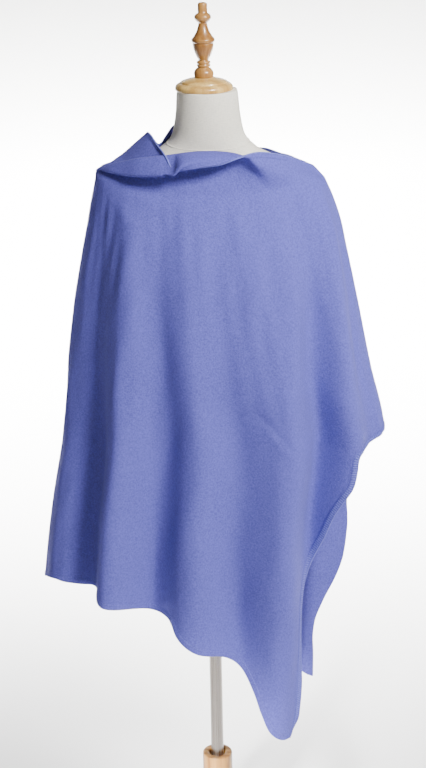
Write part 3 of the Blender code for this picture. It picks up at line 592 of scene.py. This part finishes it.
def buildPanel(name, neck, hem, side, isBack):
    grid = panelGrid(neck, hem, side, isBack)
    out = outwardOf(grid, neck, isBack)
    rise = np.zeros(grid["side"].shape)
    # line is the mask of painted shade along each hem's stitch line
    line = np.zeros(grid["side"].shape)
    for key, band in (("side", "sideHem"), ("hem", "bottomHem"), ("neck", "neckHem")):
        away, wide = grid[key], clothCut[band]
        raised = smoothRamp((wide + clothCut["hemSoft"] / 2 - away) / clothCut["hemSoft"])
        crown = clothCut["hemCrown"] * np.sin(np.clip(away / wide, 0, 1) * math.pi)
        rise = np.maximum(rise, raised * (clothCut["hemRise"] + crown))
        line = np.maximum(line, np.exp(-((away - wide) / clothCut["stitchLineShade"]) ** 2))
    outer = grid["points"] + out * rise[..., None] + poleFoot
    inner = grid["points"] - out * clothCut["wall"] + poleFoot
    rows, cols = rise.shape
    index = np.arange(rows * cols).reshape(rows, cols)  # outer points first, inner points after them
    a, b, c, d = index[:-1, :-1], index[1:, :-1], index[1:, 1:], index[:-1, 1:]
    near = np.stack([a, b, c, d], -1).reshape(-1, 4)
    far = near[:, ::-1] + rows * cols
    rim = np.concatenate([index[0, :-1], index[:-1, -1], index[-1, :0:-1], index[:0:-1, 0]])
    after = np.roll(rim, -1)
    wall = np.stack([rim, after, after + rows * cols, rim + rows * cols], -1)
    faces = np.concatenate([near, far, wall])
    if isBack:
        faces = faces[:, ::-1]
    points = np.concatenate([outer.reshape(-1, 3), inner.reshape(-1, 3)])
    panel = addMesh(name, points, faces.tolist(), knit)
    flat = np.tile(grid["flat"].reshape(-1, 2), (2, 1))
    corners = np.zeros(len(panel.data.loops), int)
    panel.data.loops.foreach_get("vertex_index", corners)
    layer = panel.data.uv_layers.new(name="cloth")
    layer.data.foreach_set("uv", flat[corners].ravel())
    mark = panel.data.attributes.new("stitchLineShade", "FLOAT", "POINT")
    mark.data.foreach_set("value", np.concatenate([line.ravel(), 0 * line.ravel()]))
    return panel, grid, out, outer


frontPanel, frontGrid, frontOut, frontFace = buildPanel("frontPanel", frontNeck, frontHem, frontSide, False)
backPanel, backGrid, backOut, backFace = buildPanel("backPanel", backNeck, backHem, backSide, True)
finishPiece(frontPanel, "cloth", "front_panel", "front_side_hem", "front_bottom_hem", "front_neck_hem")
finishPiece(backPanel, "cloth", "back_panel", "back_side_hem", "back_bottom_hem", "back_neck_hem")
print("poncho panels hung")


# rims, seam, ribs and stitches

edgeWork = {"rim": 0.0013, "neckRim": 0.0015, "seam": 0.0012, "ribPitch": 0.0042, "stitchPitch": 0.0030,
            "rib": (0.0024, 0.0106, 0.0013), "stitch": (0.0020, 0.0008, 0.0006)}


def addTube(name, path, radius, paint, closed=False, sides=10):
    path = np.asarray(path, float)
    count = len(path)
    if closed:
        tangent = unit(np.roll(path, -1, axis=0) - np.roll(path, 1, axis=0))
    else:
        tangent = unit(np.gradient(path, axis=0))
    side = np.zeros_like(path)
    side[0] = unit(np.cross(tangent[0], (0.3, 0.2, 0.9)))
    for k in range(1, count):
        side[k] = unit(side[k - 1] - tangent[k] * (side[k - 1] @ tangent[k]))
    up = np.cross(tangent, side)
    if closed:
        twist = math.atan2(side[0] @ up[-1], side[0] @ side[-1])
        turn = twist * np.linspace(0, 1, count)[:, None]
        side, up = side * np.cos(turn) + up * np.sin(turn), up * np.cos(turn) - side * np.sin(turn)
    angles = np.arange(sides) * 2 * math.pi / sides
    ring = path[:, None] + radius * (side[:, None] * np.cos(angles)[None, :, None]
                                     + up[:, None] * np.sin(angles)[None, :, None])
    length = np.concatenate([[0], np.cumsum(np.linalg.norm(np.diff(path, axis=0), axis=1))])
    faces, flats = [], []
    for k in range(count if closed else count - 1):
        n = (k + 1) % count
        for j in range(sides):
            m = (j + 1) % sides
            faces.append((k * sides + j, k * sides + m, n * sides + m, n * sides + j))
            far = length[n] if n else length[-1] + 0.003
            start, end = j * 0.001, (j + 1) * 0.001
            flats += [(length[k], start), (length[k], end), (far, end), (far, start)]
    if not closed:
        faces += [tuple(range(sides))[::-1], tuple((count - 1) * sides + j for j in range(sides))]
        flats += [(0, 0)] * sides + [(length[-1], 0)] * sides
    tube = addMesh(name, ring.reshape(-1, 3), faces, paint)
    layer = tube.data.uv_layers.new(name="cloth")
    layer.data.foreach_set("uv", np.array(flats, float).ravel())
    return tube


def repeatTree(name, paint):
    tree = bpy.data.node_groups.new(name, "GeometryNodeTree")
    face = tree.interface
    face.new_socket("Geometry", in_out="INPUT", socket_type="NodeSocketGeometry")
    for label in ("Pitch", "Length", "Width", "Height"):
        face.new_socket(label, in_out="INPUT", socket_type="NodeSocketFloat")
    face.new_socket("Geometry", in_out="OUTPUT", socket_type="NodeSocketGeometry")
    source = addNode(tree, "NodeGroupInput")
    curve = addNode(tree, "GeometryNodeMeshToCurve", {0: source.outputs["Geometry"]})
    even = addNode(tree, "GeometryNodeResampleCurve", {"Curve": curve.outputs[0],
                                                       "Length": source.outputs["Pitch"]}, mode="LENGTH")
    ball = addNode(tree, "GeometryNodeMeshUVSphere", {"Segments": 8, "Rings": 5, "Radius": 0.5})
    size = addNode(tree, "ShaderNodeCombineXYZ", {
        "X": source.outputs["Length"], "Y": source.outputs["Width"], "Z": source.outputs["Height"]})
    shaped = addNode(tree, "GeometryNodeTransform", {
        "Geometry": ball.outputs["Mesh"], "Scale": size.outputs[0]})
    soft = addNode(tree, "GeometryNodeSetShadeSmooth", {0: shaped.outputs[0]})
    tangent = addNode(tree, "GeometryNodeInputTangent")
    outward = addNode(tree, "GeometryNodeInputNamedAttribute", {"Name": "outward"}, data_type="FLOAT_VECTOR")
    along = addNode(tree, "FunctionNodeAlignRotationToVector", {"Vector": tangent.outputs[0]}, axis="X")
    facing = addNode(tree, "FunctionNodeAlignRotationToVector", {
        "Rotation": along.outputs[0], "Vector": outward.outputs["Attribute"]}, axis="Z", pivot_axis="X")
    placed = addNode(tree, "GeometryNodeInstanceOnPoints", {
        "Points": even.outputs[0], "Instance": soft.outputs[0], "Rotation": facing.outputs[0]})
    real = addNode(tree, "GeometryNodeRealizeInstances", {0: placed.outputs[0]})
    painted = addNode(tree, "GeometryNodeSetMaterial", {"Geometry": real.outputs[0], "Material": paint})
    end = addNode(tree, "NodeGroupOutput")
    tree.links.new(painted.outputs[0], end.inputs[0])
    return tree


repeats = repeatTree("repeatAlongEdge", paintedHighlightKnit)


def repeatAlong(name, lines, pitch, size):
    points, outward, edges = [], [], []
    for path, out in lines:
        first = len(points)
        points += list(path)
        outward += list(out)
        edges += [(first + k, first + k + 1) for k in range(len(path) - 1)]
    mesh = bpy.data.meshes.new(name + "Guide")
    mesh.from_pydata(np.array(points).tolist(), edges, [])
    facing = mesh.attributes.new("outward", "FLOAT_VECTOR", "POINT")
    facing.data.foreach_set("vector", np.array(outward).ravel())
    guide = bpy.data.objects.new(name + "Guide", mesh)
    bpy.context.scene.collection.objects.link(guide)
    modifier = guide.modifiers.new("repeat", "NODES")
    modifier.node_group = repeats
    named = {s.name: s.identifier for s in repeats.interface.items_tree if s.in_out == "INPUT"}
    for label, value in zip(("Pitch", "Length", "Width", "Height"), (pitch, *size)):
        modifier[named[label]] = value
    solved = guide.evaluated_get(bpy.context.evaluated_depsgraph_get())
    made = bpy.data.objects.new(name, bpy.data.meshes.new_from_object(solved))
    bpy.context.scene.collection.objects.link(made)
    bpy.data.objects.remove(guide)
    layer = made.data.uv_layers.get("cloth") or made.data.uv_layers.new(name="cloth")
    layer.active_render = True
    return made


# the line on a panel that keeps one distance from its side, hem or neck edge
def lineOn(face, out, grid, key, away):
    rows, cols = face.shape[:2]
    at = grid["stations"]
    if key == "side":
        strips = [(grid["side"][r], face[r], out[r]) for r in range(grid["cowl"], rows)
                  if grid["turns"][r, -1] <= seamTurn]
    elif key == "hem":
        strips = [(grid["hem"][:, c], face[:, c], out[:, c]) for c in range(cols - len(edgeStops))]
    else:
        free = np.where((at > sharedStations[0]) & (at < sharedStations[1]))[0]
        strips = [(grid["neck"][:, c], face[:, c], out[:, c]) for c in free]
    sign = 1 if key == "neck" else -1  # the neck's distances grow down the rows, the others shrink
    path, normal = [], []
    for order, points, normals in strips:
        path.append([np.interp(sign * away, sign * order, points[:, k]) for k in range(3)])
        normal.append([np.interp(sign * away, sign * order, normals[:, k]) for k in range(3)])
    return np.array(path), unit(np.array(normal))


trims = {}
for label, face, out, grid in (("front", frontFace, frontOut, frontGrid),
                               ("back", backFace, backOut, backGrid)):
    ribs = repeatAlong(f"{label}SideRibs", [lineOn(face, out, grid, "side", clothCut["sideHem"] * 0.5)],
                       edgeWork["ribPitch"], edgeWork["rib"])
    lines = [lineOn(face, out, grid, "side", clothCut["sideHem"] + 0.0004),
             lineOn(face, out, grid, "hem", clothCut["bottomHem"]),
             lineOn(face, out, grid, "neck", clothCut["neckHem"])]
    stitches = repeatAlong(f"{label}HemStitches", lines, edgeWork["stitchPitch"], edgeWork["stitch"])
    start = grid["cowl"] + int(np.sum(grid["turns"][grid["cowl"]:, -1] > seamTurn))
    middle = face - out * (clothCut["wall"] * 0.55)
    path = np.concatenate([middle[start:, -1], middle[-1, -2::-1]])
    rim = addTube(f"{label}EdgeRim", path, edgeWork["rim"], paintedHighlightKnit, sides=8)
    trims[label] = [ribs, stitches, rim]
    for piece in trims[label]:
        finishPiece(piece, "hem")

inFront, inBack = ((grid["stations"] >= sharedStations[0]) & (grid["stations"] <= sharedStations[1])
                   for grid in (frontGrid, backGrid))
neckPath = np.concatenate([frontFace[0, inFront], backFace[0, inBack][::-1]])
neckRim = finishPiece(addTube("neckRim", neckPath, edgeWork["neckRim"], paintedHighlightKnit, closed=True), "hem")
seamTop = np.where(frontGrid["stations"] >= sharedStations[1])[0]
cowlRows = frontGrid["cowl"]
seamRows = [r for r in range(len(frontFace)) if r < cowlRows or frontGrid["turns"][r, -1] > seamTurn]
seamPath = np.concatenate([frontFace[0, seamTop], frontFace[seamRows[2:], -1]])
keep = np.concatenate([[True], np.linalg.norm(np.diff(seamPath, axis=0), axis=1) > 0.0012])
seamPath = seamPath[keep] - (0.0006, 0, 0.0004)  # half sunk between the panels
shoulderSeam = finishPiece(addTube("shoulderSeam", seamPath, edgeWork["seam"], paintedHighlightKnit), "hem")
print("hems sewn")


# dress form: linen body, turned cap and finial, steel pole, wooden foot

formShape = {"sides": 112, "seam": 0.0009, "seamHeight": 1.4545, "seamDip": 0.006, "seamPoints": 120,
             "socket": 0.0121, "socketDeep": 0.05}
torsoRows = (  # height, half width, front reach, back reach, sideways offset
    (0.745, 0.1450, 0.102, 0.100, 0), (0.750, 0.1520, 0.108, 0.106, 0), (0.830, 0.1640, 0.112, 0.116, 0),
    (0.930, 0.1520, 0.104, 0.108, 0), (1.030, 0.1240, 0.088, 0.084, 0), (1.090, 0.1240, 0.088, 0.080, 0),
    (1.170, 0.1360, 0.112, 0.086, 0), (1.240, 0.1500, 0.130, 0.092, 0), (1.290, 0.1600, 0.120, 0.094, 0),
    (1.330, 0.1700, 0.094, 0.090, 0), (1.362, 0.1790, 0.072, 0.080, 0),
    (1.384, 0.1860, 0.058, 0.068, -0.001),
    (1.3985, 0.1820, 0.052, 0.060, 0), (1.4068, 0.1700, 0.049, 0.056, 0.001),
    (1.4158, 0.1450, 0.048, 0.055, 0.002), (1.4268, 0.1170, 0.049, 0.054, 0.003),
    (1.4378, 0.0920, 0.050, 0.054, 0.004), (1.4500, 0.0750, 0.0515, 0.0545, 0.005),
    (1.460, 0.0655, 0.0525, 0.0545, 0.0055), (1.476, 0.0590, 0.0530, 0.0540, 0.0055),
    (1.506, 0.0540, 0.0525, 0.0530, 0.0055), (1.5385, 0.0512, 0.0512, 0.0512, 0.0050),
    (1.5412, 0.0480, 0.0480, 0.0480, 0.0050))


def addLoft(name, rings, paint):  # a closed skin over rings of equal count
    rings = np.asarray(rings, float)
    rows, count = rings.shape[:2]
    faces, flats = [], []
    run = np.concatenate([[0], np.cumsum(np.linalg.norm(np.diff(rings, axis=0), axis=2).mean(axis=1))])
    girth = np.linalg.norm(np.diff(np.concatenate([rings, rings[:, :1]], axis=1), axis=1), axis=2)
    around = np.concatenate([[0], np.cumsum(girth.mean(axis=0))])
    for r in range(rows - 1):
        low, high = r * count, (r + 1) * count
        for c in range(count):
            n = (c + 1) % count
            left, right = around[c], around[c + 1]
            faces.append((low + c, low + n, high + n, high + c))
            flats += [(left, run[r]), (right, run[r]), (right, run[r + 1]), (left, run[r + 1])]
    points = np.vstack([rings.reshape(-1, 3), rings[0].mean(axis=0), rings[-1].mean(axis=0)])
    for middle, first in ((rows * count, 0), (rows * count + 1, (rows - 1) * count)):
        for c in range(count):
            trio = (middle, first + (c + 1) % count, first + c)
            faces.append(trio if first == 0 else trio[::-1])
            flats += [tuple(points[k, :2]) for k in faces[-1]]
    made = addMesh(name, points + poleFoot, faces, paint)
    layer = made.data.uv_layers.new(name="weave")
    layer.data.foreach_set("uv", np.array(flats, float).ravel())
    return made


def torsoRing(height, half, front, back, centre):
    power = 2 / (2.0 + 0.35 * float(smoothRamp((half - 0.06) / 0.08)))
    angle = np.arange(formShape["sides"]) * 2 * math.pi / formShape["sides"]
    cosine, sine = np.cos(angle), np.sin(angle)
    x = centre + half * np.sign(cosine) * np.abs(cosine) ** power
    y = np.where(sine < 0, front, back) * np.sign(sine) * np.abs(sine) ** power
    return np.stack([x, y, np.full_like(x, height)], -1)


def socketRing(height):
    angle = np.arange(formShape["sides"]) * 2 * math.pi / formShape["sides"]
    radius = formShape["socket"]
    return np.stack([radius * np.cos(angle), radius * np.sin(angle), np.full_like(angle, height)], -1)


rows = smoothRows(torsoRows, 5)
bottom = torsoRows[0][0]
underside = [socketRing(bottom + formShape["socketDeep"]), socketRing(bottom),
             torsoRing(bottom, 0.10, 0.07, 0.068, 0)]
torso = addLoft("formTorso", underside + [torsoRing(*row) for row in rows], linen)
finishPiece(torso, "linen", "linen_torso")


def neckSeamPath(rows):
    path = []
    heights = rows[:, 0]
    for angle in np.linspace(0, 2 * math.pi, formShape["seamPoints"], endpoint=False):
        height = formShape["seamHeight"] + formShape["seamDip"] * math.sin(angle)  # lower in front
        row = [np.interp(height, heights, rows[:, k]) for k in range(5)]
        x = row[4] + row[1] * math.cos(angle)
        y = (row[2] if math.sin(angle) < 0 else row[3]) * math.sin(angle)
        path.append((x, y, height))
    return np.array(path)


neckSeamLine = neckSeamPath(rows) + poleFoot
neckSeam = finishPiece(addTube("neckSeam", neckSeamLine, formShape["seam"], linen, closed=True), "linen")
neckSeam.data.uv_layers[0].name = "weave"

turnedSizes = {"capBottom": 1.5415, "finialBottom": 1.5624, "sides": 80}
capProfile = (  # height and radius in mm, from the bottom up
    (0, 0), (0, 47.4), (0.3, 48.2), (1.2, 48.6), (3.4, 48.7), (5.6, 48.5), (7.2, 47.8), (8.8, 46.6),
    (10.4, 44.4), (11.6, 41.6), (12.2, 39.8), (12.8, 39.2), (13.6, 39.3), (14.3, 38.4), (15.4, 35.6),
    (17.0, 31.0), (18.4, 25.8), (19.6, 20.6), (20.2, 18.2), (20.6, 17.0), (20.6, 0))
finialProfile = (  # foot, ring, cup, waist, ball and top
    (0, 0), (0, 15.0), (0.6, 15.8), (2.4, 16.2), (5.0, 16.5), (8.0, 16.4), (11.0, 15.2), (13.6, 13.2),
    (15.2, 11.4), (16.2, 9.8), (16.8, 9.6), (17.4, 10.4), (18.6, 11.3), (20.0, 11.5), (21.2, 11.0),
    (21.8, 10.1), (22.3, 10.3), (23.4, 11.4), (24.8, 11.6), (26.0, 11.2), (26.9, 9.4), (27.4, 8.2),
    (28.6, 8.4), (30.1, 9.2), (32.6, 10.7), (35.6, 12.3), (39.0, 13.9), (42.9, 15.2), (46.6, 16.2),
    (50.3, 16.9), (54.0, 17.5), (55.6, 17.5), (56.2, 17.1), (56.9, 17.5), (58.2, 18.7), (60.2, 19.3),
    (62.0, 19.5), (63.2, 19.2), (64.4, 18.2), (66.4, 16.5), (69.0, 14.6), (72.2, 12.6), (77.6, 10.0),
    (81.0, 8.9), (84.4, 8.0), (87.4, 7.4), (88.8, 7.3), (89.8, 7.9), (91.2, 9.3), (93.0, 11.5),
    (95.4, 13.2), (98.5, 14.0), (100.6, 13.6), (102.6, 12.5), (104.4, 10.4), (105.4, 8.5), (106.0, 7.8),
    (110.0, 7.9), (115.6, 7.9), (119.6, 7.7), (121.2, 7.2), (122.3, 6.2), (122.8, 4.6), (122.8, 0))


def addTurned(name, profile, base, paint):
    angle = np.arange(turnedSizes["sides"]) * 2 * math.pi / turnedSizes["sides"]
    rings = []
    for height, radius in profile:
        radius = max(radius, 0.05) * 0.001
        rings.append(np.stack([radius * np.cos(angle), radius * np.sin(angle),
                               np.full_like(angle, base + height * 0.001)], -1))
    return addLoft(name, rings, paint)


neckCap = addTurned("neckCapTurned", capProfile, turnedSizes["capBottom"], capWood)
finishPiece(neckCap, "wood", "neck_cap")
finial = addTurned("finialTurned", finialProfile, turnedSizes["finialBottom"], wood)
finishPiece(finial, "wood", "finial")

standSizes = {"poleLow": 0.1483, "postLow": 0.105, "legWide": 0.034, "legRoot": 0.021, "legTip": 0.0125,
              "legCorners": 28, "legSquare": 0.42}
poleProfile = ((0, 0), (0, 11.8), (2, 11.8), (644.4, 11.8), (646.4, 11.8), (646.4, 0))
postProfile = (  # down the bore's wall, over the rim and down the outside
    (43, 0), (43, 12.1), (155.6, 12.1), (156.4, 12.2), (159.6, 15.2), (160.6, 15.9), (161.6, 16.1),
    (162.4, 16.5), (162.8, 17.4), (163, 18.6), (163, 26.4), (162.7, 27.4), (161.8, 28.0), (160.4, 28.2),
    (120, 28.2), (60, 28.2), (3, 28.2), (1, 27.6), (0, 26.0), (0, 0))
legPath = (  # reach and height, m
    (0.0285, 0.178), (0.075, 0.168), (0.135, 0.118), (0.195, 0.054), (0.240, 0.017), (0.285, 0.011))
pole = addTurned("poleDrawn", poleProfile, standSizes["poleLow"], steel)
finishPiece(pole, "steel", "pole")
post = addTurned("postTurned", postProfile, standSizes["postLow"], wood)
post.data.flip_normals()  # its outline runs from the bore outwards
finishPiece(post, "wood", "post")


def addLeg(name, degrees):
    centre = smoothRows(legPath, 8)
    half = np.linspace(standSizes["legRoot"], standSizes["legTip"], len(centre))
    tangent = unit(np.gradient(centre, axis=0))
    tangent[0] = tangent[-1] = (1, 0)
    side = np.stack([-tangent[:, 1], tangent[:, 0]], -1)
    cosine, sine = math.cos(math.radians(degrees)), math.sin(math.radians(degrees))
    corner = np.linspace(0, 2 * math.pi, standSizes["legCorners"], endpoint=False)
    wide, tall = (np.sign(wave) * np.abs(wave) ** standSizes["legSquare"]
                  for wave in (np.cos(corner), np.sin(corner)))
    rings = []
    for (reach, height), (nr, nz), h in zip(centre, side, half):
        r, z = reach + nr * tall * h, np.maximum(height + nz * tall * h, 0)
        across = wide * standSizes["legWide"] / 2
        rings.append(np.stack([r * cosine - across * sine, r * sine + across * cosine, z], -1))
    return addLoft(name, rings, wood)


for number, degrees in enumerate((90, 210, 330), 1):
    leg = addLeg(f"legCurved{number}", degrees)
    finishPiece(leg, "wood", f"leg_{number}")
print("dress form built")


# studio: pale sweep, soft lamps

studio = {"paper": (0.86, 0.855, 0.845), "paperWide": 16.0, "paperFront": -7.0, "bendStart": 7.0,
          "bendRadius": 1.5, "bendSteps": 16, "wallTop": 5.0, "skyLight": 0.16}
lamps = (  # name, place, target, size, power in watts, spread in degrees
    ("keyLamp", (1.7, -2.2, 3.3), (0, 0, 1.0), (0.8, 0.8), 270, 180),
    ("paperLamp", (0, 4.7, 3.8), (0, 4.7, 0), (5.0, 6.6), 2000, 60),
    ("footLamp", (-0.9, -2.3, 0.9), (0, 0.1, 0.0), (0.3, 0.3), 7, 22))


def addPaper(sizes):
    profile = [(sizes["paperFront"], 0.0), (sizes["bendStart"], 0.0)]
    for k in range(1, sizes["bendSteps"] + 1):
        angle = math.pi / 2 * k / sizes["bendSteps"]
        profile.append((sizes["bendStart"] + sizes["bendRadius"] * math.sin(angle),
                        sizes["bendRadius"] * (1 - math.cos(angle))))
    profile.append((profile[-1][0], sizes["wallTop"]))
    half = sizes["paperWide"] / 2
    points = [(x, y, z - 0.0005) for y, z in profile for x in (-half, half)]
    faces = [(2 * k, 2 * k + 1, 2 * k + 3, 2 * k + 2) for k in range(len(profile) - 1)]
    paint = startMaterial("palePaper", sizes["paper"], Roughness=0.95)[0]
    addMesh("paperSweep", points, faces, paint)


def addLamp(name, place, target, sizes, power, spreadAngle):
    data = bpy.data.lights.new(name, "AREA")
    data.shape, data.energy, data.spread = "RECTANGLE", power, math.radians(spreadAngle)
    data.size, data.size_y = sizes
    lamp = bpy.data.objects.new(name, data)
    bpy.context.scene.collection.objects.link(lamp)
    lamp.visible_camera = False
    lamp.location = place
    lamp.rotation_euler = (Vector(target) - Vector(place)).to_track_quat("-Z", "Y").to_euler()


addPaper(studio)
for row in lamps:
    addLamp(*row)
world = bpy.data.worlds.new("studioWorld")
world.use_nodes = True
world.node_tree.nodes["Background"].inputs["Color"].default_value = (1, 1, 1, 1)
world.node_tree.nodes["Background"].inputs["Strength"].default_value = studio["skyLight"]
bpy.context.scene.world = world
print("studio lit")
